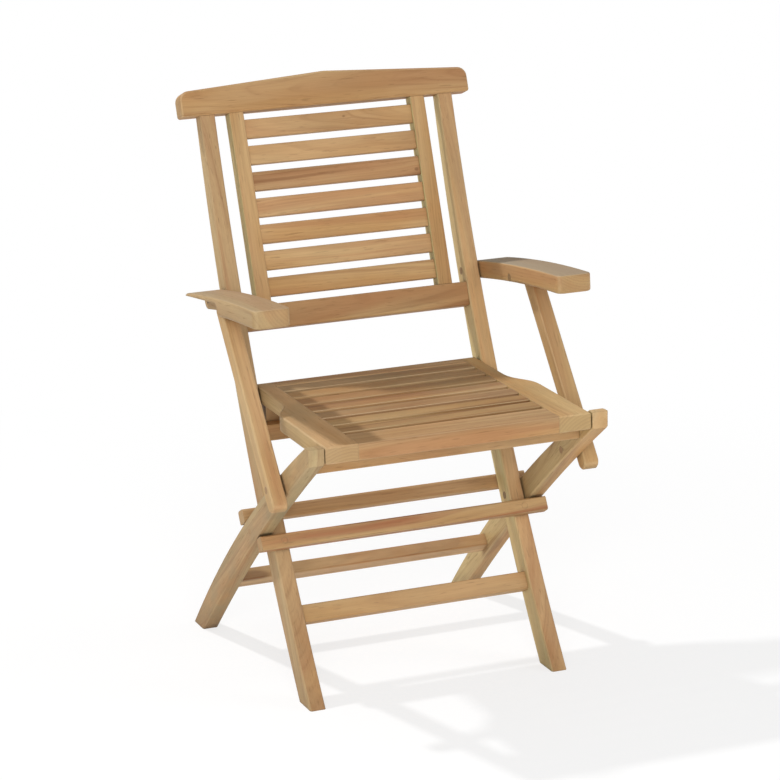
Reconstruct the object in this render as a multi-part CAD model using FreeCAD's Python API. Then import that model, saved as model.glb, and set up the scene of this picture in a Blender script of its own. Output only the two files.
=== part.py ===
import FreeCAD
import Part
import math
import os

V = FreeCAD.Vector

# Folding teak armchair, millimetres, +Z up. The chair faces -Y and its left side is +X.
# Two bowed frames cross like scissors: the long frame runs from the front feet up to the
# back, the short frame from the rear feet up to the front of the seat.

# Boards and the planes they lie in, from the middle of the chair outwards
board = 25.0                # thickness of the legs and the lower back rail
long_inside = 187.0         # half the width between the long legs
washer_gap = 1.6            # space that a washer keeps between two moving boards
strut_gap = 2.0
strut_thick = 24.0
arm_width = 58.0
arrise = 2.5                # rounding of the long edges
arm_arrise = 3.5            # rounding of the arms
bevel = 2.0                 # the same on bowed boards and struts, planed flat
touch = 0.3                 # space between pieces that only bear on each other
seating = 0.1               # space between pieces that are screwed together

# Back: heights at which its plane crosses the middle of the long legs
back_low_z = 511.0
back_high_z = 830.0

# Long leg: middle of the board and its level width at the foot, the seat and above the back
long_foot_y = -204.5
long_foot_width = 48.0
long_seat_y = 48.5
long_seat_z = 430.0
long_seat_width = 38.0
long_top_y = 210.6
long_top_z = back_high_z + 20.0
long_top_width = 21.5

# Short leg: front edge and rear edge, each through three places
short_front_foot_y = 185.0
short_front_mid_y = -65.0
short_front_mid_z = 220.0
short_front_top_y = -368.0
short_rear_foot_y = 230.0
short_rear_mid_y = 89.0
short_rear_mid_z = 140.0
short_rear_top_y = -317.0
short_top_z = 445.0
short_front_y = -317.0      # upright front face of the short legs

# Seat
seat_top = 436.0
seat_front_y = -316.0
seat_rear_y = 52.0
seat_thick = 26.0           # side rails, front board and apron
side_rail_neck = 25.0       # width of the side rails between the long legs
seat_slat_thick = 18.0
seat_slat_width = 30.0
seat_slats = 6
seat_gap = 11.0
front_board_width = 53.0
apron_height = 54.0
apron_corner = 10.0         # rounding of its lower rear edge
apron_foot_inset = 9.0      # the apron's lower part ends this far from the long legs
narrow_from_y = -140.0      # the side rails narrow between these two places
narrow_to_y = -60.0
seat_pivot_y = 40.0
seat_side_gap = 2.0

# Rails, stiles and slats of the back
lower_rail_height = 38.0
top_rail_height = 53.0
top_rail_end_height = 39.0
top_rail_overhang = 29.0    # beyond the long legs
top_rail_thick = 30.0
top_rail_corner = 15.0
top_rail_crown = 120.0      # rounding of the gable's peak
top_rail_arrise = 4.0
stile_width = 24.0
stile_thick = 22.0
stile_gap = 23.0            # between stile and long leg
back_slat_width = 29.8
back_slat_thick = 14.0
slat_arrise = 2.0
back_slats = 7

# Cross pieces
stop_bar = 22.0
stop_bar_inset = 1.6        # its ends lie this far inside the short legs' outer faces
stop_bar_arrise = 4.0
stretcher_height = 28.0
stretcher_thick = 20.0
front_stretcher_z = 116.0
rear_stretcher_z = 111.0
cross_rail_height = 26.0
cross_rail_thick = 26.0
cross_rail_setback = 44.0   # its front face lies this far behind the seat's front
support_rail_height = 26.0
support_rail_thick = 26.0
support_rail_shift = 1.0    # behind the middle of the long legs
tenon_length = 12.0
tenon_fit = 0.1
tenon_end = 0.5             # room beyond the end of a tenon
tenon_shoulder = 5.0        # a tenon is this much smaller than its piece on each side
slat_shoulder = 4.0         # the same on the broad faces of slats

# Arm and strut
arm_pivot_z = 563.0
arm_thick = 28.0
arm_length = 309.0          # from its pivot to its front end
arm_rise = 7.8              # degrees
arm_bow = 4.0               # the arm arches up this much in the middle
arm_nose = 20.0             # straight length at the front
arm_corner = 12.0
wing_thick = 8.0            # the outer edge over the strut, where it is thickest
strut_width = 25.0
strut_pivot_run = 128.0     # along the arm, from pivot to pivot
strut_pivot_drop = 3.5      # below the line between the arm's ends
strut_foot_z = 348.0        # its lower pivot on the short leg
strut_foot_ahead = 6.0      # that pivot lies this far ahead of the short leg's middle
strut_tail = 36.0           # length below that pivot

# Bolts, nuts, washers, screws and the wooden plugs over them
bolt_radius = 3.0
bolt_play = 0.06
bolt_head_radius = 5.4
bolt_head_height = 4.0
bore_radius = 6.0
bore_depth = 11.0
plug_length = 5.0
plug_fit = 0.05
nut_width = 10.0
nut_height = 5.5
washer_radius = 9.0
screw_radius = 2.4
screw_head_radius = 4.6
screw_head_height = 3.0
screw_length = 46.0
screw_bore_radius = 5.0
screw_bore_depth = 9.0

# Planes that follow from the sizes above
long_outside = long_inside + board
short_inside = long_outside + washer_gap
short_outside = short_inside + board
strut_inside = short_outside + strut_gap
strut_outside = strut_inside + strut_thick
arm_inside = short_inside
arm_outside = arm_inside + arm_width
seat_wide = short_inside - seat_side_gap
seat_narrow = long_inside - seat_side_gap
seat_inside = seat_narrow - side_rail_neck
seat_bottom = seat_top - seat_thick
stile_outside = long_inside - stile_gap
stile_inside = stile_outside - stile_width
top_rail_half = long_outside + top_rail_overhang
stop_bar_half = short_outside - stop_bar_inset


class Bow:
    """Circular edge in the side view through three (y, z) points."""

    def __init__(self, low, middle, high):
        self.low, self.middle, self.high = low, middle, high
        circle = self.edge().Curve
        self.centre = (circle.Center.y, circle.Center.z)
        self.radius = circle.Radius
        self.side = 1.0 if middle[0] > self.centre[0] else -1.0

    def edge(self):
        return arc(self.low, self.middle, self.high)

    def edge_from(self, z):
        """The same edge, run on along its circle to start at height z."""
        return arc((self.y(z), z), self.middle, self.high)

    def y(self, z):
        rise = z - self.centre[1]
        return self.centre[0] + self.side * math.sqrt(self.radius ** 2 - rise ** 2)

    def upward(self, z):
        """Unit direction of the edge at height z, pointing up."""
        dy = -(z - self.centre[1]) / (self.y(z) - self.centre[0])
        size = math.hypot(dy, 1.0)
        return (dy / size, 1.0 / size)


def point(yz, x=0.0):
    return V(x, yz[0], yz[1])


def arc(start, middle, end):
    return Part.Arc(point(start), point(middle), point(end)).toShape()


def bow_pair(stations):
    """Front and rear edges of a leg given as (z, centre y, level width) at three places."""
    front = Bow(*[(y - width / 2, z) for z, y, width in stations])
    rear = Bow(*[(y + width / 2, z) for z, y, width in stations])
    return front, rear


def crossing(first, second):
    """The (y, z) point where two edges, given as functions y(z), cross."""
    low, high = 100.0, 400.0
    for step in range(60):
        middle = (low + high) / 2
        if first(middle) < second(middle):
            low = middle
        else:
            high = middle
    return (first(low), low)


def bowed_board(front, rear, x_from, x_to):
    """Board between two bowed edges, run on below the floor for its foot to be sawn level."""
    low = -2 * board
    wire = Part.Wire([
        front.edge_from(low),
        Part.makeLine(point(front.high), point(rear.high)),
        rear.edge_from(low),
        Part.makeLine(point((rear.y(low), low)), point((front.y(low), low))),
    ])
    solid = prism(wire, x_from, x_to)
    solid = planed(solid, bevel, lambda e: e.Length > 100)
    return solid.cut(box(x_from - 1, x_to + 1, -900, 900, 2 * low, 0))


def prism(wire, x_from, x_to):
    solid = Part.Face(wire).extrude(V(x_to - x_from, 0, 0))
    solid.translate(V(x_from, 0, 0))
    return solid


def outline(points):
    return Part.makePolygon([point(p) for p in points + points[:1]])


def soften(solid, radius, wanted):
    """Round the edges of a solid that the test function picks."""
    return solid.makeFillet(radius, [e for e in solid.Edges if wanted(e)])


def planed(solid, width, wanted):
    """Plane the edges that the test function picks to narrow flats."""
    return solid.makeChamfer(width, [e for e in solid.Edges if wanted(e)])


def runs_through(edge):
    """Whether an edge of the top rail goes straight from its front to its back."""
    ends = [v.Y for v in edge.Vertexes]
    return len(ends) == 2 and abs(ends[0] - ends[1]) > top_rail_thick - 1


def runs_along_x(edge):
    ends = [v.Point for v in edge.Vertexes]
    return len(ends) == 2 and abs((ends[1] - ends[0]).x) > 0.999 * edge.Length


def box(x_from, x_to, y_from, y_to, z_from, z_to):
    return Part.makeBox(x_to - x_from, y_to - y_from, z_to - z_from, V(x_from, y_from, z_from))


def rod(radius, x_from, x_to, yz):
    low = min(x_from, x_to)
    return Part.makeCylinder(radius, abs(x_to - x_from), V(low, yz[0], yz[1]), V(1, 0, 0))


def mirrored(solid):
    return solid.mirror(V(0, 0, 0), V(1, 0, 0))


def tilted(solid, yz, direction):
    """Move a piece drawn at the origin so that its +Z runs along a (y, z) direction at yz."""
    angle = math.degrees(math.atan2(-direction[0], direction[1]))
    placed = solid.copy()
    placed.rotate(V(0, 0, 0), V(1, 0, 0), angle)
    placed.translate(point(yz))
    return placed


def beam(half, depth, height, rounding, depth_shoulder=tenon_shoulder,
         height_shoulder=tenon_shoulder):
    """Cross piece centred on the origin, with a tenon at each end; and its mortise cutter."""
    body = box(-half, half, -depth / 2, depth / 2, -height / 2, height / 2)
    body = soften(body, rounding, runs_along_x)
    reach = half + tenon_length
    wide = depth / 2 - depth_shoulder
    tall = height / 2 - height_shoulder
    body = body.fuse(box(-reach, reach, -wide, wide, -tall, tall)).removeSplitter()
    reach += tenon_end
    wide += tenon_fit
    tall += tenon_fit
    return body, box(-reach, reach, -wide, wide, -tall, tall)


def upright_tenon(x_from, x_to, z_from, z_to, spare=0.0):
    """Tenon of an upright piece of the back; with some spare room it cuts the mortise."""
    half = tenon_shoulder + spare
    end = tenon_end if spare else 0.0
    return box(x_from + tenon_shoulder - spare, x_to - tenon_shoulder + spare,
               -half, half, z_from - end, z_to + end)


def hexagon(width, x_from, x_to, yz):
    reach = width / math.sqrt(3)
    corners = []
    for k in range(6):
        turn = math.radians(60 * k)
        corners.append((yz[0] + reach * math.cos(turn), yz[1] + reach * math.sin(turn)))
    return prism(outline(corners), min(x_from, x_to), max(x_from, x_to))


def pivot(yz, nut_face, head_face):
    """Bolt, nut and plugs of a pivot. The nut's board holds the bolt and the other turns."""
    out = 1.0 if head_face > nut_face else -1.0
    nut_seat = nut_face + out * bore_depth
    head_seat = head_face - out * bore_depth
    head_low = head_seat + out * touch
    shank = rod(bolt_radius, nut_face + out * (plug_length + touch), head_low, yz)
    head = rod(bolt_head_radius, head_low, head_low + out * bolt_head_height, yz)
    nut = hexagon(nut_width, nut_seat - out * nut_height, nut_seat, yz)
    nut = nut.cut(rod(bolt_radius + bolt_play, nut_face, nut_seat, yz))
    hole = rod(bolt_radius + bolt_play, nut_face, head_face, yz)
    hole = hole.fuse(rod(bore_radius, nut_face - out, nut_seat, yz))
    hole = hole.fuse(rod(bore_radius, head_seat, head_face + out, yz))
    plug_radius = bore_radius - plug_fit
    return {
        "bolt": shank.fuse(head),
        "nut": nut,
        "nut_plug": rod(plug_radius, nut_face, nut_face + out * plug_length, yz),
        "head_plug": rod(plug_radius, head_face - out * plug_length, head_face, yz),
        "hole": hole,
    }


def washer(yz, x_from, x_to):
    ring = rod(washer_radius, x_from + touch, x_to - touch, yz)
    return ring.cut(rod(bolt_radius + bolt_play, x_from, x_to, yz))


nodes = {}


def keep(name, *solids):
    nodes[name] = list(solids)


def keep_pair(name, solid):
    keep(name, solid, mirrored(solid))


# Leg edges and the places that follow from them
long_front, long_rear = bow_pair([
    (0.0, long_foot_y, long_foot_width),
    (long_seat_z, long_seat_y, long_seat_width),
    (long_top_z, long_top_y, long_top_width),
])
short_front = Bow((short_front_foot_y, 0.0), (short_front_mid_y, short_front_mid_z),
                  (short_front_top_y, short_top_z))
short_rear = Bow((short_rear_foot_y, 0.0), (short_rear_mid_y, short_rear_mid_z),
                 (short_rear_top_y, short_top_z))


def long_middle(z):
    return (long_front.y(z) + long_rear.y(z)) / 2


def short_middle(z):
    return (short_front.y(z) + short_rear.y(z)) / 2


leg_pivot = crossing(long_middle, short_middle)
seat_pivot = (seat_pivot_y, seat_top - seat_thick / 2)
arm_pivot = (long_middle(arm_pivot_z), arm_pivot_z)
strut_foot = (short_middle(strut_foot_z) - strut_foot_ahead, strut_foot_z)

arm_ahead = (-math.cos(math.radians(arm_rise)), math.sin(math.radians(arm_rise)))
arm_above = (arm_ahead[1], -arm_ahead[0])


def on_arm(along, above):
    """The (y, z) point at a distance along the arm and above its middle."""
    return (arm_pivot[0] + along * arm_ahead[0] + above * arm_above[0],
            arm_pivot[1] + along * arm_ahead[1] + above * arm_above[1])


def above_arm(place):
    """Height of a (y, z) point above the line through the arm's ends."""
    return ((place[0] - arm_pivot[0]) * arm_above[0]
            + (place[1] - arm_pivot[1]) * arm_above[1])


strut_head = on_arm(strut_pivot_run, -strut_pivot_drop)

# Long frame: legs
long_leg = bowed_board(long_front, long_rear, long_inside, long_outside)

# The back lies in a plane through the middle of the long legs at two heights
back_low = (long_middle(back_low_z), back_low_z)
back_high = (long_middle(back_high_z), back_high_z)
back_length = math.dist(back_low, back_high)
back_up = ((back_high[0] - back_low[0]) / back_length, (back_high[1] - back_low[1]) / back_length)


def on_back(solid):
    return tilted(solid, back_low, back_up)


above_rail = box(0, 2 * long_outside, -back_length, back_length, back_length, 2 * back_length)
post_tenon = upright_tenon(long_inside, long_outside, back_length - 1, back_length + 2 * tenon_length)
long_leg = long_leg.cut(on_back(above_rail)).fuse(on_back(post_tenon)).removeSplitter()

# Top rail: straight underside, low gable on top with a rounded peak, rounded ends
half = top_rail_half
slope = math.atan2(top_rail_height - top_rail_end_height, half)
crown_half = top_rail_crown * math.sin(slope)
crown_low = top_rail_height - crown_half * math.tan(slope)
crown_high = crown_low + top_rail_crown * (1 - math.cos(slope))
crown = Part.Arc(V(crown_half, 0, crown_low), V(0, 0, crown_high), V(-crown_half, 0, crown_low))
rail_points = [V(-crown_half, 0, crown_low), V(-half, 0, top_rail_end_height), V(-half, 0, 0),
               V(half, 0, 0), V(half, 0, top_rail_end_height), V(crown_half, 0, crown_low)]
rail = Part.Face(Part.Wire(Part.makePolygon(rail_points).Edges + [crown.toShape()]))
rail = rail.extrude(V(0, top_rail_thick, 0))
rail.translate(V(0, -top_rail_thick / 2, 0))
rail = soften(rail, top_rail_corner, lambda e: runs_through(e) and e.CenterOfMass.z > 1
              and abs(e.CenterOfMass.x) > half - 1)
rail = soften(rail, top_rail_arrise, lambda e: runs_through(e) and e.CenterOfMass.z < 1)
rail = soften(rail, top_rail_arrise, lambda e: not runs_through(e))
rail.translate(V(0, 0, back_length))

# Stiles and slats of the back
lower_rail, lower_mortise = beam(long_inside, board, lower_rail_height, arrise)
for solid in (lower_rail, lower_mortise):
    solid.translate(V(0, 0, lower_rail_height / 2))
field = back_length - lower_rail_height
back_gap = (field - back_slats * back_slat_width) / (back_slats + 1)
stile = box(stile_inside, stile_outside, -stile_thick / 2, stile_thick / 2,
            lower_rail_height, back_length)
stile = soften(stile, arrise, lambda e: e.Length > 100)
stile_ends = (lower_rail_height - tenon_length, back_length + tenon_length)
stile = stile.fuse(upright_tenon(stile_inside, stile_outside, *stile_ends)).removeSplitter()
stile_mortise = upright_tenon(stile_inside, stile_outside, *stile_ends, spare=tenon_fit)
for number in range(back_slats):
    slat, mortise = beam(stile_inside, back_slat_thick, back_slat_width, slat_arrise,
                         depth_shoulder=slat_shoulder)
    height = lower_rail_height + back_gap + back_slat_width / 2
    height += number * (back_slat_width + back_gap)
    for solid in (slat, mortise):
        solid.translate(V(0, 0, height))
    stile = stile.cut(mortise)
    keep("back_slat_%d" % (number + 1), on_back(slat))
for cutter in (stile_mortise, mirrored(stile_mortise)):
    rail = rail.cut(cutter)
    lower_rail = lower_rail.cut(cutter)
post_mortise = upright_tenon(long_inside, long_outside, back_length - 1,
                             back_length + 2 * tenon_length, spare=tenon_fit)
rail = rail.cut(post_mortise).cut(mirrored(post_mortise))
long_leg = long_leg.cut(on_back(lower_mortise))
keep("top_rail", on_back(rail))
keep("lower_back_rail", on_back(lower_rail))
keep("back_stile_left", on_back(stile))
keep("back_stile_right", mirrored(on_back(stile)))

# Rail between the long legs that carries the rear of the seat
support_z = seat_top - apron_height - touch - support_rail_height / 2
support_y = long_middle(support_z) + support_rail_shift
support, mortise = beam(long_inside, support_rail_thick, support_rail_height, arrise)
for solid in (support, mortise):
    solid.translate(V(0, support_y, support_z))
long_leg = long_leg.cut(mortise)
keep("seat_support_rail", support)

# Stretcher near the front feet, square to the legs
stretcher, mortise = beam(long_inside, stretcher_thick, stretcher_height, arrise)
place = (long_middle(front_stretcher_z), front_stretcher_z)
long_leg = long_leg.cut(tilted(mortise, place, long_front.upward(front_stretcher_z)))
keep("front_stretcher", tilted(stretcher, place, long_front.upward(front_stretcher_z)))

# Short frame: legs cut upright at the front and level with the seat
short_leg = bowed_board(short_front, short_rear, short_inside, short_outside)
short_leg = short_leg.common(box(0, 400, short_front_y, 400, -1, seat_top))

cross_rail, mortise = beam(short_inside, cross_rail_thick, cross_rail_height, arrise)
cross_y = seat_front_y + cross_rail_setback + cross_rail_thick / 2
cross_z = seat_bottom - touch - cross_rail_height / 2
for solid in (cross_rail, mortise):
    solid.translate(V(0, cross_y, cross_z))
short_leg = short_leg.cut(mortise)
keep("front_cross_rail", cross_rail)

stretcher, mortise = beam(short_inside, stretcher_thick, stretcher_height, arrise)
place = (short_middle(rear_stretcher_z), rear_stretcher_z)
short_leg = short_leg.cut(tilted(mortise, place, short_front.upward(rear_stretcher_z)))
keep("rear_stretcher", tilted(stretcher, place, short_front.upward(rear_stretcher_z)))

# Stop bars: screwed to the long legs in the two side angles of the crossing, where the
# short legs come to rest against their overhanging ends
screws = []
screw_plugs = []
for name, long_edge, short_edge, ahead in (
        ("front_stop_bar", long_front, short_front, -1.0),
        ("rear_stop_bar", long_rear, short_rear, 1.0)):
    apex = crossing(long_edge.y, short_edge.y)
    up = long_edge.upward(apex[1])
    along = (ahead * up[0], ahead * up[1])
    away = (ahead * up[1], -ahead * up[0])
    half = stop_bar / 2
    reach = half + 2 * touch
    out = half + seating
    middle = (apex[0] + reach * along[0] + out * away[0],
              apex[1] + reach * along[1] + out * away[1])
    bar = box(-stop_bar_half, stop_bar_half, -half, half, -half, half)
    bar = soften(bar, stop_bar_arrise, lambda e: e.Length > 100)
    bar = tilted(bar, middle, away)
    face = V((long_inside + long_outside) / 2,
             middle[0] + half * away[0], middle[1] + half * away[1])
    inward = V(0, -away[0], -away[1])
    bore = Part.makeCylinder(screw_bore_radius, screw_bore_depth + 1, face - inward, inward)
    seat = face + inward * screw_bore_depth
    hole = Part.makeCylinder(screw_radius + bolt_play, screw_length + 1, seat, inward)
    shank = Part.makeCylinder(screw_radius, screw_length, seat, inward)
    head = Part.makeCylinder(screw_head_radius, screw_head_height,
                             seat - inward * screw_head_height, inward)
    plug = Part.makeCylinder(screw_bore_radius - plug_fit, plug_length, face, inward)
    for side in (lambda s: s, mirrored):
        bar = bar.cut(side(bore)).cut(side(hole))
        screws.append(side(shank.fuse(head)))
        screw_plugs.append(side(plug))
    long_leg = long_leg.cut(hole)
    keep(name, bar)
keep("stop_bar_screws", *screws)
keep("stop_bar_plugs", *screw_plugs)

# Seat: side rails that narrow to pass between the long legs, a front board, slats and a
# deep apron at the rear
curve = Part.BezierCurve()
turn = (narrow_from_y + narrow_to_y) / 2
curve.setPoles([V(seat_wide, narrow_from_y, 0), V(seat_wide, turn, 0),
                V(seat_narrow, turn, 0), V(seat_narrow, narrow_to_y, 0)])
wire = Part.Wire(Part.sortEdges([
    Part.makeLine(V(seat_inside, seat_front_y, 0), V(seat_wide, seat_front_y, 0)),
    Part.makeLine(V(seat_wide, seat_front_y, 0), V(seat_wide, narrow_from_y, 0)),
    curve.toShape(),
    Part.makeLine(V(seat_narrow, narrow_to_y, 0), V(seat_narrow, seat_rear_y, 0)),
    Part.makeLine(V(seat_narrow, seat_rear_y, 0), V(seat_inside, seat_rear_y, 0)),
    Part.makeLine(V(seat_inside, seat_rear_y, 0), V(seat_inside, seat_front_y, 0)),
])[0])
side_rail = Part.Face(wire).extrude(V(0, 0, seat_thick))
side_rail.translate(V(0, 0, seat_bottom))
side_rail = planed(side_rail, bevel, lambda e: e.CenterOfMass.x > seat_inside + 5
                   and abs(e.Vertexes[0].Z - e.Vertexes[1].Z) < 1)

front_board, mortise = beam(seat_inside, front_board_width, seat_thick, arrise,
                            depth_shoulder=2 * tenon_shoulder)
place = V(0, seat_front_y + front_board_width / 2, seat_top - seat_thick / 2)
front_board.translate(place)
mortise.translate(place)
side_rail = side_rail.cut(mortise)
keep("seat_front_board", front_board)

slat_y = seat_front_y + front_board_width + seat_gap + seat_slat_width / 2
slat_z = seat_top - seat_slat_thick / 2
for number in range(seat_slats):
    slat, mortise = beam(seat_inside, seat_slat_width, seat_slat_thick, slat_arrise,
                         depth_shoulder=slat_shoulder)
    place = V(0, slat_y + number * (seat_slat_width + seat_gap), slat_z)
    slat.translate(place)
    mortise.translate(place)
    side_rail = side_rail.cut(mortise)
    keep("seat_slat_%d" % (number + 1), slat)

apron_front = seat_rear_y - seat_thick
last_edge = slat_y + (seat_slats - 1) * (seat_slat_width + seat_gap) + seat_slat_width / 2
last_width = apron_front - washer_gap - last_edge - seat_gap
slat, mortise = beam(seat_inside, last_width, seat_slat_thick, slat_arrise,
                     depth_shoulder=slat_shoulder)
place = V(0, apron_front - washer_gap - last_width / 2, slat_z)
slat.translate(place)
mortise.translate(place)
side_rail = side_rail.cut(mortise)
keep("seat_slat_%d" % (seat_slats + 1), slat)

apron = box(-seat_inside, seat_inside, apron_front, seat_rear_y,
            seat_top - apron_height, seat_top)
apron_foot = long_inside - apron_foot_inset
apron = apron.fuse(box(-apron_foot, apron_foot, apron_front, seat_rear_y,
                       seat_top - apron_height, seat_bottom)).removeSplitter()
apron = soften(apron, apron_corner, lambda e: e.Length > 200 and e.CenterOfMass.y > seat_rear_y - 1
               and e.CenterOfMass.z < seat_top - apron_height + 1)
apron = soften(apron, arrise, lambda e: e.Length > 200 and e.CenterOfMass.z > seat_top - 1)
keep("seat_apron", apron)

# Arm: a full board ahead of the strut; behind it the outer part is cut back to a thin wing
# over the strut's place, and the inner part goes on to the pivot
half = arm_thick / 2
bow_run = arm_length - arm_nose
bow_radius = bow_run ** 2 / (8 * arm_bow) + arm_bow / 2


def on_arch(along, above):
    """The (y, z) point at a distance along the arched arm, which runs on straight at its ends."""
    bent = min(max(along, 0.0), bow_run)
    turn = (bent - bow_run / 2) / bow_radius
    run = (bow_radius + above) * math.sin(turn) + (along - bent) * math.cos(turn)
    rise = (bow_radius + above) * math.cos(turn) - (along - bent) * math.sin(turn)
    return on_arm(bow_run / 2 + run, arm_bow - bow_radius + rise)


front_low = on_arch(arm_length, -half)
front_high = on_arch(arm_length, half)
wire = Part.Wire([
    arc(on_arch(0, -half), on_arch(bow_run / 2, -half), on_arch(bow_run, -half)),
    Part.makeLine(point(on_arch(bow_run, -half)), point(front_low)),
    Part.makeLine(point(front_low), point(front_high)),
    Part.makeLine(point(front_high), point(on_arch(bow_run, half))),
    arc(on_arch(bow_run, half), on_arch(bow_run / 2, half), on_arch(0, half)),
    arc(on_arch(0, half), on_arch(-half, 0), on_arch(0, -half)),
])
arm = prism(wire, arm_inside, arm_outside)
arm = soften(arm, arm_corner, lambda e: abs(e.Vertexes[0].Z - e.Vertexes[-1].Z) > half
             and e.CenterOfMass.y < front_low[0] + half)
arm = soften(arm, arm_arrise, lambda e: e.Length > arm_length / 2)
strut_length = math.dist(strut_head, strut_foot)
strut_down = ((strut_foot[0] - strut_head[0]) / strut_length,
              (strut_foot[1] - strut_head[1]) / strut_length)
strut_ahead = (strut_down[1], -strut_down[0])


def on_strut(along, ahead):
    return (strut_head[0] + along * strut_down[0] + ahead * strut_ahead[0],
            strut_head[1] + along * strut_down[1] + ahead * strut_ahead[1])


room = strut_width / 2 + touch
wing_low = arm_thick / 2 + arm_bow - wing_thick
corner = (wing_low - above_arm(on_strut(0, room))) / (
    above_arm(on_strut(1, room)) - above_arm(on_strut(0, room)))
undercut = prism(outline([
    on_arm(-arm_thick, wing_low),
    on_strut(corner, room),
    on_strut(2 * arm_thick, room),
    on_arm(-arm_thick, -2 * arm_thick),
]), short_outside, arm_outside + arm_width)
arm = arm.cut(undercut)

# Strut with round ends
low = strut_length + strut_tail - strut_width / 2
half = strut_width / 2
wire = Part.Wire([
    Part.makeLine(point(on_strut(0, half)), point(on_strut(low, half))),
    arc(on_strut(low, half), on_strut(low + half, 0), on_strut(low, -half)),
    Part.makeLine(point(on_strut(low, -half)), point(on_strut(0, -half))),
    arc(on_strut(0, -half), on_strut(-half, 0), on_strut(0, half)),
])
strut = prism(wire, strut_inside, strut_outside)
strut = planed(strut, bevel, lambda e: e.Length > 100)

# Pivots
leg_bolt = pivot(leg_pivot, long_inside, short_outside)
arm_bolt = pivot(arm_pivot, long_inside, short_outside)
seat_bolt = pivot(seat_pivot, long_outside, seat_inside)
strut_bolt = pivot(strut_head, arm_inside, strut_outside)
foot_bolt = pivot(strut_foot, short_inside, strut_outside)
long_leg = long_leg.cut(leg_bolt["hole"]).cut(arm_bolt["hole"]).cut(seat_bolt["hole"])
short_leg = short_leg.cut(leg_bolt["hole"]).cut(foot_bolt["hole"])
arm = arm.cut(arm_bolt["hole"]).cut(strut_bolt["hole"])
strut = strut.cut(strut_bolt["hole"]).cut(foot_bolt["hole"])
side_rail = side_rail.cut(seat_bolt["hole"])

# The lower pivot of the strut is parted between the leg and the strut: a nut and a stub
# stay in the leg, the bolt ends just short of the leg's face
parting = (short_outside + strut_inside) / 2
foot_pin = foot_bolt["bolt"].common(box(parting, 400, -400, 400, 0, 900))
foot_stub = foot_bolt["bolt"].common(box(0, short_outside, -400, 400, 0, 900))

keep("long_leg_left", long_leg)
keep("long_leg_right", mirrored(long_leg))
keep("short_leg_left", short_leg)
keep("short_leg_right", mirrored(short_leg))
keep("seat_side_rail_left", side_rail)
keep("seat_side_rail_right", mirrored(side_rail))
keep("arm_left", arm)
keep("arm_right", mirrored(arm))
keep("strut_left", strut)
keep("strut_right", mirrored(strut))
keep_pair("leg_pivot_bolts", leg_bolt["bolt"])
keep_pair("leg_pivot_washers", washer(leg_pivot, long_outside, short_inside))
keep_pair("leg_pivot_caps", leg_bolt["head_plug"])
keep_pair("arm_pivot_bolts", arm_bolt["bolt"])
keep_pair("arm_pivot_washers", washer(arm_pivot, long_outside, arm_inside))
keep_pair("seat_pivot_bolts", seat_bolt["bolt"])
keep_pair("seat_pivot_caps", seat_bolt["head_plug"])
fixed_nuts = [leg_bolt["nut"], arm_bolt["nut"], seat_bolt["nut"]]
fixed_plugs = [leg_bolt["nut_plug"], arm_bolt["nut_plug"], seat_bolt["nut_plug"]]
keep("long_leg_nuts", *(fixed_nuts + [mirrored(s) for s in fixed_nuts]))
keep("long_leg_plugs", *(fixed_plugs + [mirrored(s) for s in fixed_plugs]))
keep_pair("short_leg_nuts", foot_bolt["nut"])
keep_pair("short_leg_studs", foot_stub)
keep_pair("short_leg_plugs", foot_bolt["nut_plug"])
for side, turned in (("left", lambda s: s), ("right", mirrored)):
    keep("strut_bolt_" + side, turned(strut_bolt["bolt"]), turned(strut_bolt["nut"]))
    keep("arm_plugs_" + side, turned(arm_bolt["head_plug"]), turned(strut_bolt["nut_plug"]))
    keep("strut_foot_bolt_" + side, turned(foot_pin))
    keep("strut_plugs_" + side, turned(strut_bolt["head_plug"]), turned(foot_bolt["head_plug"]))

# The chair stands with the middle of its depth over the origin
depth = Part.Compound([s for solids in nodes.values() for s in solids]).optimalBoundingBox()
middle_y = (depth.YMin + depth.YMax) / 2
os.makedirs("parts", exist_ok=True)
for name, solids in nodes.items():
    shape = solids[0] if len(solids) == 1 else Part.Compound(solids)
    shape = shape.copy()
    shape.translate(V(0, -middle_y, 0))
    shape.exportStep("parts/%s.step" % name)

for label, place in (("leg", leg_pivot), ("seat", seat_pivot), ("arm", arm_pivot),
                     ("strut head", strut_head), ("strut foot", strut_foot)):
    print("%s pivot at y %.3f, z %.3f" % (label, place[0] - middle_y, place[1]))
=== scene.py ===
import bpy
import math
import random
from types import SimpleNamespace
from mathutils import Matrix, Vector


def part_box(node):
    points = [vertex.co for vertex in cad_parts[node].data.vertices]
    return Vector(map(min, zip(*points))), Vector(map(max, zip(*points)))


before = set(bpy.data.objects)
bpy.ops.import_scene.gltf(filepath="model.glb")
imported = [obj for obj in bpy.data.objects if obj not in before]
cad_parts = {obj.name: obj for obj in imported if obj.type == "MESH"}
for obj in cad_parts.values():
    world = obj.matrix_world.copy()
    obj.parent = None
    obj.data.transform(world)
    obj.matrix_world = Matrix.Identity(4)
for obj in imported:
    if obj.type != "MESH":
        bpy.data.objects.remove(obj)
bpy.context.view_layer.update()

ALONG_X = Vector((1.0, 0.0, 0.0))
ALONG_Y = Vector((0.0, 1.0, 0.0))
UPRIGHT = Vector((0.0, 0.0, 1.0))


def leaning(degrees):
    """Unit direction in the side view that leans back from upright."""
    angle = math.radians(degrees)
    return Vector((0.0, math.sin(angle), math.cos(angle)))


# Grain directions of the boards that lie neither along X nor along Y
LONG_LEG = leaning(27.0)
SHORT_LEG = leaning(-51.0)
BACK = leaning(20.4)
ARM = leaning(-82.2)
STRUT = leaning(39.0)


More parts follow.
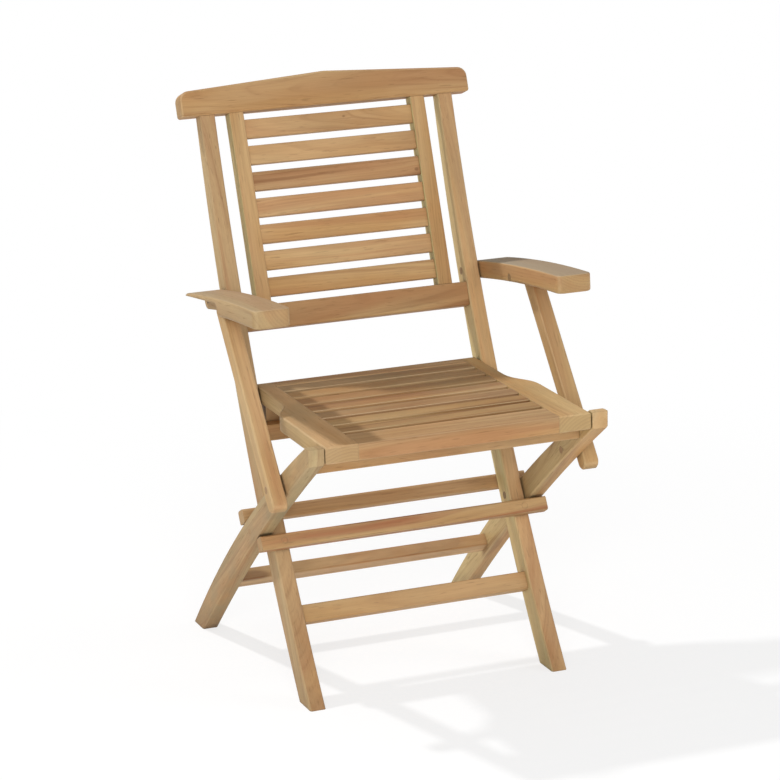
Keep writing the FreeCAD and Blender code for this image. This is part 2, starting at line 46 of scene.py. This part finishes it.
def linear(red, green, blue):
    """An sRGB colour of 0 to 255, as the shader's linear RGBA."""
    def channel(value):
        value /= 255.0
        return value / 12.92 if value <= 0.04045 else ((value + 0.055) / 1.055) ** 2.4
    return (channel(red), channel(green), channel(blue), 1.0)


WHITE = (1.0, 1.0, 1.0, 1.0)
HONEY = linear(206, 170, 122)
GOLD = linear(194, 150, 97)
ROSE = linear(177, 125, 84)
RED = linear(172, 108, 74)
STREAK = linear(142, 97, 60)
SAPWOOD = linear(200, 178, 130)
WEATHERED = linear(158, 140, 104)
GREYED = linear(170, 155, 134)
# Painted light on faces turned to -X
PAINTED_LIGHT_PALE = linear(208, 200, 142)
PORE = linear(108, 76, 50)
# Pale arrises: rubbed wear and painted highlight
WORN_AND_HIGHLIT = linear(222, 196, 154)
SAWN = linear(180, 151, 108)
END_GRAIN = linear(142, 112, 78)
KNOT = linear(92, 58, 36)
STAIN = linear(112, 72, 46)
ZINC = linear(196, 194, 188)
DULL_ZINC = linear(150, 143, 132)


class Tree:
    """Short calls for building the nodes of a material or a world."""

    def __init__(self, holder):
        self.holder = holder
        holder.use_nodes = True
        self.nodes = holder.node_tree.nodes
        self.links = holder.node_tree.links
        self.nodes.clear()

    def put(self, socket, value):
        """Feeds a socket from another node, or sets it."""
        if isinstance(value, bpy.types.NodeSocket):
            self.links.new(value, socket)
        else:
            socket.default_value = value

    def node(self, kind, settings=(), **inputs):
        """A node with its settings, and its inputs by name with _ for a space."""
        node = self.nodes.new(kind)
        for key, value in dict(settings).items():
            setattr(node, key, value)
        for key, value in inputs.items():
            self.put(node.inputs[key.replace("_", " ")], value)
        return node

    def fed(self, kind, settings, values):
        """First output of a node whose inputs take these values in turn."""
        node = self.node(kind, settings)
        for socket, value in zip(node.inputs, values):
            self.put(socket, value)
        return node.outputs[0]

    def math(self, operation, first, second=0.0, clamp=False):
        return self.fed("ShaderNodeMath", {"operation": operation, "use_clamp": clamp},
                        (first, second))

    def vector(self, x, y, z):
        return self.fed("ShaderNodeCombineXYZ", (), (x, y, z))

    def span(self, value, low, high, to_low=0.0, to_high=1.0):
        """A value's smooth way from low to high, as a number from to_low to to_high."""
        return self.fed("ShaderNodeMapRange", {"clamp": True, "interpolation_type": "SMOOTHSTEP"},
                        (value, low, high, to_low, to_high))

    def either(self, factor, first, second):
        """One shader where the factor is 0, the other where it is 1."""
        return self.fed("ShaderNodeMixShader", (), (factor, first, second))

    def measure(self, operation, first, second=(0.0, 0.0, 0.0)):
        """The number that a vector operation gives, such as a distance."""
        node = self.node("ShaderNodeVectorMath", {"operation": operation})
        self.put(node.inputs[0], first)
        self.put(node.inputs[1], second)
        return node.outputs["Value"]

    def dot(self, vector, direction):
        return self.measure("DOT_PRODUCT", vector, direction)

    def noise(self, vector, scale, detail=2.0, roughness=0.5):
        node = self.node("ShaderNodeTexNoise", Vector=vector, Scale=scale, Detail=detail,
                         Roughness=roughness)
        return node.outputs[0]

    def mix(self, factor, first, second, blend="MIX"):
        node = self.node("ShaderNodeMix", {"data_type": "RGBA", "blend_type": blend})
        self.put(node.inputs["Factor"], factor)
        self.put(node.inputs[6], first)
        self.put(node.inputs[7], second)
        return node.outputs[2]

    def painted(self, colour, where, amount, paint):
        """A colour with a paint over it, as much as the two factors together say."""
        return self.mix(self.math("MULTIPLY", where, amount), colour, paint)

    def dimmed(self, colour, light):
        """A colour times a grey number."""
        return self.mix(1.0, colour, self.vector(light, light, light), "MULTIPLY")

    def finish(self, shader, kind="ShaderNodeOutputMaterial"):
        self.put(self.node(kind).inputs["Surface"], shader)
        return self.holder


# How a board looks where its own row in BOARDS says nothing else
USUAL_LOOKS = dict(
    along=ALONG_X,      # its grain
    tone=1.0,           # brightness
    rose=0.55,          # how much reddish heartwood
    heart=ROSE,         # the heartwood's colour
    sap=0.3,            # how much pale sapwood
    dark=0.25,          # how much of dark bands
    grey=0.2,           # how weathered in clouds
    figure=1.0,         # how much the growth rings show and wander
    ends=0.6,           # how much the sawn ends differ
    wear=0.35,          # how pale the arrises are painted: rubbed wear and painted highlight
    rounding=0.0022,    # of the short edges, in metres
    pale_face=0.0,      # how much painted light pales the -X face
    grey_top=0.0,       # how grey the upper face is
    foot=1.0,           # brightness left at the floor
    knots=(),           # each x, y, z, radius
    stains=(),          # each x, y, z, radius, strength
)

# Noise that is drawn out along a board: features per metre across and along it, then
# detail, roughness and shift where they aren't the usual ones
SLOW = (7.0, 1.8)
SMALL = (50.0, 8.0)
WARMTH = (17.0, 3.0, 3.0, 0.5, 5.0)
CLOUDS = (9.0, 5.0, 4.0, 0.6, 11.0)
FIBRES = (620.0, 14.0, 3.0, 0.65)
PORES = (430.0, 34.0)
# Noise that follows the rings: features per metre across the rings and along the board,
# detail, shift, and the noise's values where it begins to show and shows in full
LINE_BREAKS = (70.0, 1.6, 2.0, 0.0, 0.38, 0.68)
HAIRS = (760.0, 5.0, 3.0, 4.0, 0.48, 0.72)
STREAKS = (46.0, 1.0, 3.0, 9.0, 0.44, 0.6)
SAP_STREAKS = (26.0, 0.5, 2.0, 21.0, 0.52, 0.6)
BANDS = (52.0, 0.9, 4.0, 31.0, 0.48, 0.64)
RING_NOISE_ROUGHNESS = 0.55

# Growth rings, in metres: how far the pith lies from the board's middle and how much it
# leans, the rings' spacing, and how far slow and small noise move them
PITH_REACH = (0.035, 0.08)
PITH_LEAN = 0.05
RING_SPACING = (0.0036, 0.0052)
RING_WANDER = 0.016
RING_WAVER = 0.0018

# How strongly lines, hairs, fibres, pores and knots are painted on
LINE_PAINT = 0.18
HAIR_PAINT = 0.15
BANDED_HAIR_PAINT = 1.2
FIBRE_PAINT = 0.16
PORE_PAINT = 0.28
KNOT_PAINT = 0.45

# Marks: how far they are drawn out along the grain, how ragged, and how a knot bends rings
KNOT_STRETCH = 1.5
STAIN_STRETCH = 3.0
RAGGEDNESS = 0.9
KNOT_BULGE = 1.6

# Depths and distances in metres, and the brightness that painted shade leaves in the deepest corner
NOOK_REACH = 0.014
NOOK_LIGHT = 0.66
FOOT_HEIGHT = 0.05
FOOT_UNEVENNESS = 0.02
PORE_DEPTH = 0.0005
SCRATCH_DEPTH = 0.0003
WOOD_SPECULAR = 0.28
RAY_SAMPLES = 4


class Wood(Tree):
    """The nodes of one board of oiled teak. They know how it is sawn from the log."""

    def __init__(self, name, seed, middle, looks):
        super().__init__(bpy.data.materials.new(name))
        self.draw = random.Random(seed)
        self.middle = middle
        self.looks = looks
        self.along = looks.along
        across = self.along.cross(ALONG_X)
        self.across = UPRIGHT if across.length < 0.5 else across.normalized()
        self.side = self.along.cross(self.across)
        coordinates = self.node("ShaderNodeTexCoord").outputs
        self.place = coordinates["Object"]
        self.facing = coordinates["Normal"]
        self.shift = self.draw.uniform(3.0, 9.0)
        self.run = self.math("ADD", self.dot(self.place, self.along), self.shift)
        self.wide = self.from_middle(self.across)
        self.deep = self.from_middle(self.side)
        self.slow = self.grain(*SLOW)
        self.small = self.grain(*SMALL)
        self.fibre = self.grain(*FIBRES)
        self.pore = self.span(self.grain(*PORES), 0.62, 0.72)
        self.cloud = self.span(self.grain(*CLOUDS), 0.4, 0.7)
        self.ring = self.rings()
        self.knots = [self.knot(*knot) for knot in looks.knots]
        spacing = self.draw.uniform(*RING_SPACING)
        self.phase = self.math("FRACT", self.math("DIVIDE", self.ring, spacing))
        self.hair = self.layered(*HAIRS)

    def from_middle(self, direction):
        return self.math("SUBTRACT", self.dot(self.place, direction), self.middle.dot(direction))

    def grain(self, cross, lengthwise, detail=2.0, roughness=0.5, shift=0.0):
        """Noise that is drawn out along the board."""
        moved = self.math("ADD", self.run, shift)
        where = self.vector(self.math("MULTIPLY", self.wide, cross),
                            self.math("MULTIPLY", self.deep, cross),
                            self.math("MULTIPLY", moved, lengthwise))
        return self.noise(where, 1.0, detail, roughness)

    def layered(self, radial, lengthwise, detail, shift, low, high):
        """Where noise that follows the growth rings shows."""
        where = self.vector(self.math("MULTIPLY", self.ring, radial), shift + self.shift,
                            self.math("MULTIPLY", self.run, lengthwise))
        return self.span(self.noise(where, 1.0, detail, RING_NOISE_ROUGHNESS), low, high)

    def rings(self):
        """The distance from a leaning, wavering pith beside the board."""
        angle = self.draw.uniform(0.0, math.tau)
        reach = self.draw.uniform(*PITH_REACH)
        past = self.math("SUBTRACT", self.run, self.shift + self.middle.dot(self.along))
        squares = 0.0
        for offset, turned in ((self.wide, math.cos(angle)), (self.deep, math.sin(angle))):
            lean = self.math("MULTIPLY", past, self.draw.uniform(-PITH_LEAN, PITH_LEAN))
            offset = self.math("ADD", self.math("ADD", offset, reach * turned), lean)
            squares = self.math("ADD", squares, self.math("MULTIPLY", offset, offset))
        ring = self.math("SQRT", squares)
        for noise, swing in ((self.slow, RING_WANDER * self.looks.figure),
                             (self.small, RING_WAVER)):
            swung = self.math("MULTIPLY", self.math("SUBTRACT", noise, 0.5), swing)
            ring = self.math("ADD", ring, swung)
        return ring

    def radii_from(self, x, y, z, radius, stretch):
        """Distance from a mark in its own radii; it is drawn out along the grain."""
        centre = Vector((x, y, z))
        here = self.vector(self.wide, self.deep, self.math("DIVIDE", self.run, stretch))
        there = ((centre - self.middle).dot(self.across), (centre - self.middle).dot(self.side),
                 (centre.dot(self.along) + self.shift) / stretch)
        away = self.math("DIVIDE", self.measure("DISTANCE", here, there), radius)
        ragged = self.math("MULTIPLY", self.math("SUBTRACT", self.small, 0.5), RAGGEDNESS)
        return self.math("ADD", away, ragged)

    def knot(self, x, y, z, radius):
        """Where a knot is; it also bends the rings round itself."""
        near = self.radii_from(x, y, z, radius, KNOT_STRETCH)
        bulge = self.math("POWER", math.e, self.math("MULTIPLY", near, -0.5))
        self.ring = self.math("ADD", self.ring, self.math("MULTIPLY", bulge, KNOT_BULGE * radius))
        return self.span(near, 0.55, 1.15, 1.0, 0.0)

    def face(self, direction, high, amount, least):
        """The amount on faces turned to a direction; slow noise cuts it to a least share."""
        turned = self.span(self.dot(self.facing, direction), 0.5, high, 0.0, amount)
        return self.math("MULTIPLY", turned, self.span(self.slow, 0.25, 0.6, least, 1.0))

    def grown(self):
        """The colour of the wood: heartwood, sapwood, bands, rings, fibres and pores, and painted
        light that pales the -X faces.
        """
        looks = self.looks
        line = self.math("MULTIPLY", self.span(self.phase, 0.3, 0.9),
                         self.span(self.phase, 0.9, 1.0, 1.0, 0.0))
        line = self.math("MULTIPLY", line, self.layered(*LINE_BREAKS))
        band = self.layered(*BANDS)
        banded_hair = self.math("MULTIPLY", band, self.hair)
        colour = self.mix(self.span(self.grain(*WARMTH), 0.36, 0.66), HONEY, GOLD)
        colour = self.painted(colour, self.layered(*STREAKS), looks.rose, looks.heart)
        colour = self.painted(colour, self.layered(*SAP_STREAKS), looks.sap, SAPWOOD)
        # Painted light: faces turned to -X are painted pale, for light falling on that side.
        if looks.pale_face:
            colour = self.mix(self.face(-ALONG_X, 0.9, looks.pale_face, 0.4), colour, PAINTED_LIGHT_PALE)
        for where, amount in ((band, looks.dark), (line, LINE_PAINT * looks.figure),
                              (self.hair, HAIR_PAINT),
                              (banded_hair, BANDED_HAIR_PAINT * looks.dark),
                              (self.span(self.fibre, 0.35, 0.7), FIBRE_PAINT)):
            colour = self.painted(colour, where, amount, STREAK)
        return self.painted(colour, self.pore, PORE_PAINT, PORE)

    def marked(self, colour):
        """Weathering, stains and knots over the wood's own colour."""
        looks = self.looks
        colour = self.painted(colour, self.cloud, looks.grey, WEATHERED)
        if looks.grey_top:
            colour = self.mix(self.face(UPRIGHT, 0.95, looks.grey_top, 0.55), colour, GREYED)
        for x, y, z, radius, strength in looks.stains:
            near = self.radii_from(x, y, z, radius, STAIN_STRETCH)
            colour = self.mix(self.span(near, 0.6, 1.1, strength, 0.0), colour, STAIN)
        for where in self.knots:
            colour = self.painted(colour, where, KNOT_PAINT, KNOT)
        return colour

    def end_grain(self, colour):
        """Sawn ends are darker, and their rings stand out."""
        sawn = self.span(self.math("ABSOLUTE", self.dot(self.facing, self.along)), 0.8, 0.95)
        rings = self.mix(self.span(self.phase, 0.2, 0.9, 0.1, 0.38), SAWN, END_GRAIN)
        return self.painted(colour, sawn, self.looks.ends, rings)

    def worn_and_highlit(self, colour, rounded):
        """Arrises are painted pale where the rounded normal leaves the true one: partly rubbed
        wear, partly painted highlight where they catch the light.
        """
        true_normal = self.node("ShaderNodeNewGeometry").outputs["True Normal"]
        edge = self.span(self.dot(true_normal, rounded), 0.8, 0.985, 1.0, 0.0)
        square = self.math("ABSOLUTE", self.dot(self.facing, self.along))
        for direction in (self.across, self.side):
            square = self.math("MAXIMUM", square,
                               self.math("ABSOLUTE", self.dot(self.facing, direction)))
        edge = self.math("MAXIMUM", edge, self.span(square, 0.74, 0.92, 1.0, 0.0))
        edge = self.math("MULTIPLY", edge, self.span(self.small, 0.35, 0.6, 0.45, 1.0))
        return self.painted(colour, edge, self.looks.wear, WORN_AND_HIGHLIT)

    def darkened(self, colour):
        """Joints and inner corners get painted shade, and the feet are darker near the floor."""
        # Painted shade: the colour is darkened where ambient occlusion finds surfaces close by.
        nook_shade = self.node("ShaderNodeAmbientOcclusion", {"samples": RAY_SAMPLES},
                         Distance=NOOK_REACH)
        light = self.span(nook_shade.outputs["AO"], 0.2, 0.75, NOOK_LIGHT, 1.0)
        colour = self.dimmed(colour, light)
        # The feet are painted darker over their lowest few centimetres.
        if self.looks.foot < 1.0:
            lowered = self.math("MULTIPLY", self.cloud, -FOOT_UNEVENNESS)
            height = self.math("ADD", self.dot(self.place, UPRIGHT), lowered)
            colour = self.dimmed(colour, self.span(height, 0.0, FOOT_HEIGHT, self.looks.foot, 1.0))
        return colour

    def toned(self, colour):
        """No two boards are quite alike in brightness and hue."""
        shade = self.looks.tone * self.draw.uniform(0.96, 1.04)
        tone = (shade, shade * self.draw.uniform(0.98, 1.01), shade * self.draw.uniform(0.95, 1.02),
                1.0)
        return self.mix(1.0, colour, tone, "MULTIPLY")

    def build(self):
        """The finished material."""
        rounded = self.node("ShaderNodeBevel", {"samples": RAY_SAMPLES},
                            Radius=self.looks.rounding).outputs[0]
        colour = self.end_grain(self.marked(self.grown()))
        colour = self.toned(self.darkened(self.worn_and_highlit(colour, rounded)))
        height = self.math("ADD", self.math("MULTIPLY", self.fibre, 0.5),
                           self.math("MULTIPLY", self.hair, 0.3))
        height = self.math("SUBTRACT", height, self.math("MULTIPLY", self.pore, 0.9))
        bump = self.node("ShaderNodeBump", Strength=0.3, Distance=PORE_DEPTH, Height=height,
                         Normal=rounded)
        rough = self.math("ADD", 0.5, self.math("MULTIPLY", self.fibre, 0.2))
        rough = self.math("ADD", rough, self.math("MULTIPLY", self.pore, 0.2))
        shader = self.node("ShaderNodeBsdfPrincipled", Base_Color=colour, Roughness=rough,
                           Specular_IOR_Level=WOOD_SPECULAR, Normal=bump.outputs[0])
        return self.finish(shader.outputs[0])


def teak(name, seed, middle=Vector((0.0, 0.0, 0.0)), **looks):
    """Oiled teak round a board's middle, with looks that depart from the usual ones."""
    return Wood(name, seed, middle, SimpleNamespace(**{**USUAL_LOOKS, **looks})).build()


def steel(name):
    """Plain zinc-bright steel with a brushed, slightly stained face."""
    tree = Tree(bpy.data.materials.new(name))
    place = tree.node("ShaderNodeTexCoord").outputs["Object"]
    cloud = tree.noise(place, 180.0, 4.0, 0.6)
    scratch = tree.noise(place, 1400.0)
    colour = tree.mix(tree.span(cloud, 0.4, 0.7), ZINC, DULL_ZINC)
    rough = tree.math("ADD", 0.28, tree.math("MULTIPLY", scratch, 0.25))
    bump = tree.node("ShaderNodeBump", Strength=0.12, Distance=SCRATCH_DEPTH, Height=scratch)
    shader = tree.node("ShaderNodeBsdfPrincipled", Base_Color=colour, Roughness=rough,
                       Metallic=1.0, Normal=bump.outputs[0])
    return tree.finish(shader.outputs[0])


# Each board's own looks, after the boards of the chair. A row stands for all pieces whose
# names begin with its key, and the longest key wins. Places and radii are in metres.
BOARDS = {
    "long_leg_left": dict(along=LONG_LEG, tone=1.03, rose=0.5, dark=0.18, figure=0.6, wear=0.2,
                          pale_face=0.95, foot=0.85),
    # Its tone below 1 is partly painted shade, taking back some of the key lamp's light on the -X
    # side.
    "long_leg_right": dict(along=LONG_LEG, tone=0.97, sap=0.25, dark=0.18, figure=0.6, wear=0.2,
                           pale_face=0.3, foot=0.85),
    # Its high tone is partly painted light, for the +X side that the key lamp leaves darker.
    "short_leg_left": dict(along=SHORT_LEG, tone=1.14, rose=0.15, grey=0.4, sap=0.8, dark=0.3,
                           wear=0.25, pale_face=0.3, foot=0.8,
                           knots=[(0.2136, -0.171, 0.350, 0.0035)],
                           stains=[(0.2136, 0.100, 0.110, 0.018, 0.4)]),
    # Its low tone is partly painted shade, taking back some of the key lamp's light on the -X side.
    "short_leg_right": dict(along=SHORT_LEG, tone=0.9, rose=0.0, grey=0.9, sap=0.8, dark=0.35,
                            wear=0.2, foot=0.8),
    "back_stile": dict(along=BACK, rose=0.35, sap=0.4, wear=0.25, pale_face=0.9),
    "back_slat": dict(tone=1.12, sap=0.1, dark=0.4),
    "back_slat_1": dict(tone=1.02, rose=0.6, sap=0.1, dark=0.8),
    "back_slat_5": dict(tone=1.03, rose=0.7, sap=0.1, dark=0.7,
                        knots=[(0.134, 0.198, 0.724, 0.0032)]),
    "back_slat_7": dict(tone=1.12, rose=0.6, sap=0.1, dark=0.3,
                        knots=[(0.025, 0.231, 0.813, 0.0018)]),
    "top_rail": dict(tone=1.04, rose=0.7, sap=0.0, grey=0.1, dark=0.2),
    "lower_back_rail": dict(tone=0.97, rose=0.9, sap=0.0, dark=0.5, wear=0.2),
    "arm_left": dict(along=ARM, tone=0.95, rose=0.5, grey=0.3, dark=0.2, figure=0.8, ends=0.45,
                     wear=0.3, grey_top=1.0, rounding=0.0045),
    "arm_right": dict(along=ARM, rose=0.25, grey=0.4, sap=0.5, dark=0.2, figure=0.8, ends=0.35,
                      wear=0.3, grey_top=0.4, rounding=0.0045),
    "strut": dict(along=STRUT, tone=1.02, rose=0.5, sap=0.2, wear=0.2, pale_face=0.25),
    "seat_side_rail": dict(along=ALONG_Y, tone=1.04, rose=0.15, grey=0.5, wear=0.25,
                           pale_face=0.3, ends=0.7),
    "seat_front_board": dict(rose=0.6, figure=1.5, dark=0.3),
    "seat_slat": dict(tone=0.85, rose=0.5, grey=0.4, dark=0.6, wear=1.0, rounding=0.003),
    "front_stop_bar": dict(rose=1.0, sap=0.0, dark=0.35, figure=1.3, heart=RED),
    "rear_stop_bar": dict(tone=1.12, rose=0.5, grey=0.35, dark=0.35),
    "front_stretcher": dict(tone=1.04, rose=0.25, dark=0.15, wear=0.2),
    "rear_stretcher": dict(tone=1.06, rose=0.5, grey=0.35, dark=0.45,
                           stains=[(-0.192, 0.117, 0.118, 0.011, 0.75)]),
}
STEEL_WORDS = ("bolt", "nuts", "washers", "screws", "studs")
PLUG_WORDS = ("plugs", "caps")
DARK_PLUGS = ("arm_plugs", "long_leg_plugs")
bright_steel = steel("bright_steel")
plug_wood = teak("plug_wood", 900, tone=0.97, rose=0.8)
dark_plug_wood = teak("dark_plug_wood", 901, tone=0.6)


def board_material(name, seed):
    """Teak with the looks of a board's row, round the middle of its own box."""
    row = max((key for key in BOARDS if name.startswith(key)), key=len, default=None)
    low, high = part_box(name)
    return teak("teak_" + name, seed, (Vector(low) + Vector(high)) / 2, **BOARDS.get(row, {}))


for seed, name in enumerate(sorted(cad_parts), start=100):
    if any(word in name for word in STEEL_WORDS):
        material = bright_steel
    elif name.startswith(DARK_PLUGS):
        material = dark_plug_wood
    elif any(word in name for word in PLUG_WORDS):
        material = plug_wood
    else:
        material = board_material(name, seed)
    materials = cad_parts[name].data.materials
    materials.clear()
    materials.append(material)

# The plugs in the stop bars are cut from the same wood as the bars
bar_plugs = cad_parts["stop_bar_plugs"].data.materials
bar_plugs.clear()
bar_plugs.append(bpy.data.materials["teak_front_stop_bar"])

# The floor and the light round it: widths and distances in metres
FLOOR_WIDTH = 60.0
FLOOR_WHITE = linear(238, 238, 238)
SEEN_GREY = (0.3, 0.3, 0.3, 1.0)
SEEN_GLOW = 0.71
SHADOW_FADE = (0.7, 1.6)
FILL_LIGHT = 0.36


def pale_floor():
    """Matt to the light. The camera sees it white, with the object's shadow near the middle."""
    tree = Tree(bpy.data.materials.new("pale_floor"))
    matt = tree.node("ShaderNodeBsdfDiffuse", Color=FLOOR_WHITE)
    seen_matt = tree.node("ShaderNodeBsdfDiffuse", Color=SEEN_GREY)
    glow = tree.node("ShaderNodeEmission", Strength=SEEN_GLOW)
    near = tree.fed("ShaderNodeAddShader", (), (seen_matt.outputs[0], glow.outputs[0]))
    plain = tree.node("ShaderNodeEmission", Strength=1.0)
    place = tree.node("ShaderNodeTexCoord").outputs["Object"]
    distance = tree.measure("LENGTH", place)
    seen = tree.either(tree.span(distance, *SHADOW_FADE), near, plain.outputs[0])
    path = tree.node("ShaderNodeLightPath").outputs
    sight = tree.math("ADD", path["Is Camera Ray"], path["Is Glossy Ray"])
    sight = tree.math("ADD", sight, path["Is Transmission Ray"], clamp=True)
    return tree.finish(tree.either(sight, matt.outputs[0], seen))


def studio_world():
    """Even white light, and plain white where the camera sees past the floor."""
    world = bpy.data.worlds.new("studio")
    tree = Tree(world)
    fill = tree.node("ShaderNodeBackground", Color=WHITE, Strength=FILL_LIGHT)
    seen = tree.node("ShaderNodeBackground", Color=WHITE, Strength=1.0)
    sight = tree.node("ShaderNodeLightPath").outputs["Is Camera Ray"]
    chosen = tree.either(sight, fill.outputs[0], seen.outputs[0])
    return tree.finish(chosen, "ShaderNodeOutputWorld")


bpy.ops.mesh.primitive_plane_add(size=FLOOR_WIDTH, location=(0.0, 0.0, 0.0))
floor = bpy.context.object
floor.name = "floor"
floor.data.materials.append(pale_floor())
bpy.context.scene.world = studio_world()


CHAIR_MIDDLE = Vector((0.0, 0.0, 0.45))


def lamp(name, place, size, power):
    """A round lamp that is turned to the middle of the chair."""
    data = bpy.data.lights.new(name, "AREA")
    data.shape = "DISK"
    data.size = size
    data.energy = power
    lamp_object = bpy.data.objects.new(name, data)
    bpy.context.scene.collection.objects.link(lamp_object)
    lamp_object.location = place
    aim = CHAIR_MIDDLE - Vector(place)
    lamp_object.rotation_euler = aim.to_track_quat("-Z", "Y").to_euler()


# The key lamp stands where the photograph's shades on the seat come from
lamp("key", (-3.39, 4.12, 6.70), 0.4, 370.0)
lamp("front", (-1.6, -4.0, 1.9), 2.6, 100.0)
lamp("side", (3.4, -1.6, 2.2), 2.0, 25.0)

# Camera: fitted to the photograph's left chair. Angles are in radians and places in metres.
AZIMUTH = -0.39950
ELEVATION = 0.27105
ROLL = math.radians(-0.82)
DISTANCE = 4.673
AIM_POINT = Vector((-0.055, -0.335, 0.531))
# In pixels of the photograph: focal length, the width of the square window that the image
# shows, the window's middle, and the pixel where the aim point lies
FOCAL_PIXELS = 2679.0
WINDOW_PIXELS = 640.0
WINDOW_MIDDLE = Vector((190.0, 403.0))
AIM_PIXEL = Vector((231.6, 396.2))
SENSOR_MM = 36.0


def fitted_camera():
    """A camera that sees the chair as the photograph shows it."""
    back = Vector((math.sin(AZIMUTH) * math.cos(ELEVATION),
                   -math.cos(AZIMUTH) * math.cos(ELEVATION), math.sin(ELEVATION)))
    right = Vector((math.cos(AZIMUTH), math.sin(AZIMUTH), 0.0))
    up = right.cross(-back)
    right, up = (math.cos(ROLL) * right + math.sin(ROLL) * up,
                 -math.sin(ROLL) * right + math.cos(ROLL) * up)
    off_aim = (WINDOW_MIDDLE - AIM_PIXEL) / FOCAL_PIXELS
    look = (-back + right * off_aim.x - up * off_aim.y).normalized()
    right = (right - look * right.dot(look)).normalized()
    turn = Matrix((right, right.cross(look), -look)).transposed()
    data = bpy.data.cameras.new("camera")
    data.sensor_width = SENSOR_MM
    data.lens = FOCAL_PIXELS / WINDOW_PIXELS * SENSOR_MM
    camera = bpy.data.objects.new("camera", data)
    bpy.context.scene.collection.objects.link(camera)
    camera.matrix_world = Matrix.Translation(AIM_POINT + DISTANCE * back) @ turn.to_4x4()
    return camera


bpy.context.scene.camera = fitted_camera()
bpy.context.scene.view_settings.view_transform = "Standard"
